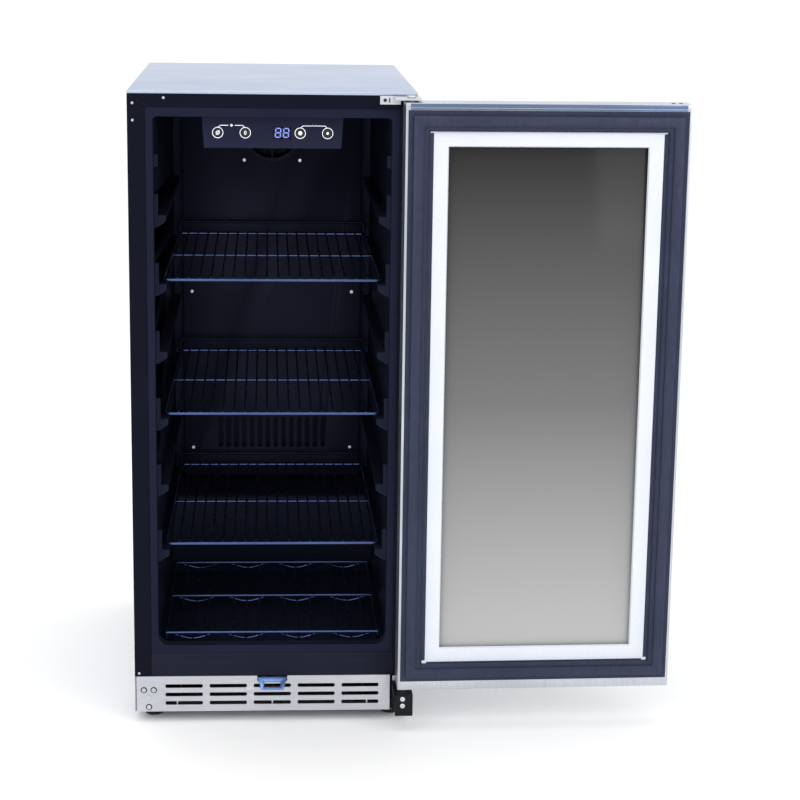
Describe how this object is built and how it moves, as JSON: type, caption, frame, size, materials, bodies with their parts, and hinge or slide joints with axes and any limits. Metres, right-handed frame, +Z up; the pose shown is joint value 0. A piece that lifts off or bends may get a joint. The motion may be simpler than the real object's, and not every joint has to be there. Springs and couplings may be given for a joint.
{
  "type": "mini fridge",
  "caption": "Built-in undercounter beverage cooler with an open glass door, wire shelves, ceiling control panel and slotted kick plate.",
  "frame": {"origin": "on the floor, at the centre of the box around the cabinet and its open door; the cabinet's centre plane lies at x = -0.1765 m and its front face at y = -0.2408 m", "axes": "+Z up, +Y from the front of the cabinet to its back, +X to the right seen from the front, towards the open door"},
  "size_m": [0.728, 0.5884, 0.861],
  "materials": {
    "stainless": "satin",
    "brushed_steel": "satin",
    "galvanised": "satin",
    "black_steel": "satin",
    "casting_black": "satin",
    "compressor_black": "satin",
    "liner_plastic": "satin",
    "trim_black": "satin",
    "cover_plastic": "matte",
    "foam": "matte",
    "rubber_black": "matte",
    "foot_black": "matte",
    "gasket": "satin",
    "trim_white": "gloss",
    "tinted_glass": "gloss",
    "display_smoke": "gloss",
    "lens_white": "satin",
    "spacer_metal": "satin",
    "coil_aluminium": "satin",
    "copper": "satin",
    "fan_black": "matte",
    "control_plastic": "satin",
    "button_plastic": "satin",
    "board_green": "satin",
    "wire_black": "gloss",
    "strike_steel": "satin",
    "pin_steel": "polished",
    "acetal": "satin"
  },
  "bodies": {
    "cabinet": {"top_panel": "stainless", "left_side_panel": "stainless", "right_side_panel": "stainless", "rear_panel": "galvanised", "rear_cover": "galvanised", "mains_inlet": "rubber_black", "front_frame": "black_steel", "lower_trim": "trim_black", "liner": "liner_plastic", "insulation": "foam", "machine_bay_roof": "galvanised", "base_pan": "galvanised", "compressor": "compressor_black", "condenser_coil": "copper", "condenser_fan_motor": "casting_black", "drain_tray": "trim_black", "evaporator_cover": "cover_plastic", "fan_guard": "cover_plastic", "evaporator_coil": "coil_aluminium", "evaporator_fan_motor": "casting_black", "control_fascia": "control_plastic", "display_window": "display_smoke", "control_housing": "control_plastic", "light_lens": "lens_white", "control_board": "board_green", "bottle_rack": "wire_black", "kick_plate": "brushed_steel", "lock_strike": "strike_steel", "upper_hinge": "brushed_steel", "upper_hinge_pin": "pin_steel", "lower_hinge": "casting_black", "lower_hinge_pin": "pin_steel"},
    "door": {"door_skin": "brushed_steel", "door_core": "foam", "door_liner": "trim_black", "door_gasket": "gasket", "window_trim": "trim_white", "outer_glass": "tinted_glass", "inner_glass": "tinted_glass", "glass_spacer": "spacer_metal", "upper_door_bush": "acetal", "lower_door_bush": "acetal", "handle_bar": "brushed_steel", "upper_handle_post": "brushed_steel", "lower_handle_post": "brushed_steel", "lock_barrel": "pin_steel"},
    "lock_plug": {"lock_cam": "pin_steel"},
    "power_button": {"power_button": "button_plastic"},
    "light_button": {"light_button": "button_plastic"},
    "cooler_button": {"cooler_button": "button_plastic"},
    "warmer_button": {"warmer_button": "button_plastic"},
    "lower_shelf": {"lower_shelf": "wire_black"},
    "middle_shelf": {"middle_shelf": "wire_black"},
    "upper_shelf": {"upper_shelf": "wire_black"},
    "evaporator_fan": {"evaporator_fan": "fan_black"},
    "condenser_fan": {"condenser_fan": "fan_black"},
    "front_left_foot": {"front_left_foot": "foot_black"},
    "front_right_foot": {"front_right_foot": "foot_black"},
    "rear_left_foot": {"rear_left_foot": "foot_black"},
    "rear_right_foot": {"rear_right_foot": "foot_black"}
  },
  "joints": [
    {"name": "door_hinge", "type": "hinge", "parent": "cabinet", "child": "door", "pos_m": [0.00079, -0.26777, 0.06], "axis": [0, 0, 1], "range_deg": [-181.5, 0]},
    {"name": "lock_turn", "type": "hinge", "parent": "door", "child": "lock_plug", "pos_m": [0.17769, -0.25013, 0.074], "axis": [0.0262, -0.9997, 0], "range_deg": [0, 90]},
    {"name": "lower_shelf_slide", "type": "slide", "parent": "cabinet", "child": "lower_shelf", "axis": [0, -1, 0], "range_m": [0, 0.3]},
    {"name": "middle_shelf_slide", "type": "slide", "parent": "cabinet", "child": "middle_shelf", "axis": [0, -1, 0], "range_m": [0, 0.3]},
    {"name": "upper_shelf_slide", "type": "slide", "parent": "cabinet", "child": "upper_shelf", "axis": [0, -1, 0], "range_m": [0, 0.3]},
    {"name": "power_press", "type": "slide", "parent": "cabinet", "child": "power_button", "axis": [0, 1, 0], "range_m": [0, 0.0007], "stiffness_N_per_m": 600},
    {"name": "light_press", "type": "slide", "parent": "cabinet", "child": "light_button", "axis": [0, 1, 0], "range_m": [0, 0.0007], "stiffness_N_per_m": 600},
    {"name": "cooler_press", "type": "slide", "parent": "cabinet", "child": "cooler_button", "axis": [0, 1, 0], "range_m": [0, 0.0007], "stiffness_N_per_m": 600},
    {"name": "warmer_press", "type": "slide", "parent": "cabinet", "child": "warmer_button", "axis": [0, 1, 0], "range_m": [0, 0.0007], "stiffness_N_per_m": 600},
    {"name": "front_left_foot_screw", "type": "slide", "parent": "cabinet", "child": "front_left_foot", "axis": [0, 0, -1], "range_m": [0, 0.02]},
    {"name": "front_right_foot_screw", "type": "slide", "parent": "cabinet", "child": "front_right_foot", "axis": [0, 0, -1], "range_m": [0, 0.02]},
    {"name": "rear_left_foot_screw", "type": "slide", "parent": "cabinet", "child": "rear_left_foot", "axis": [0, 0, -1], "range_m": [0, 0.02]},
    {"name": "rear_right_foot_screw", "type": "slide", "parent": "cabinet", "child": "rear_right_foot", "axis": [0, 0, -1], "range_m": [0, 0.02]},
    {"name": "evaporator_fan_spin", "type": "hinge", "parent": "cabinet", "child": "evaporator_fan", "pos_m": [-0.17651, 0.25223, 0.763], "axis": [0, 1, 0], "continuous": true},
    {"name": "condenser_fan_spin", "type": "hinge", "parent": "cabinet", "child": "condenser_fan", "pos_m": [-0.25151, 0.18923, 0.0862], "axis": [0, 1, 0], "continuous": true}
  ]
}
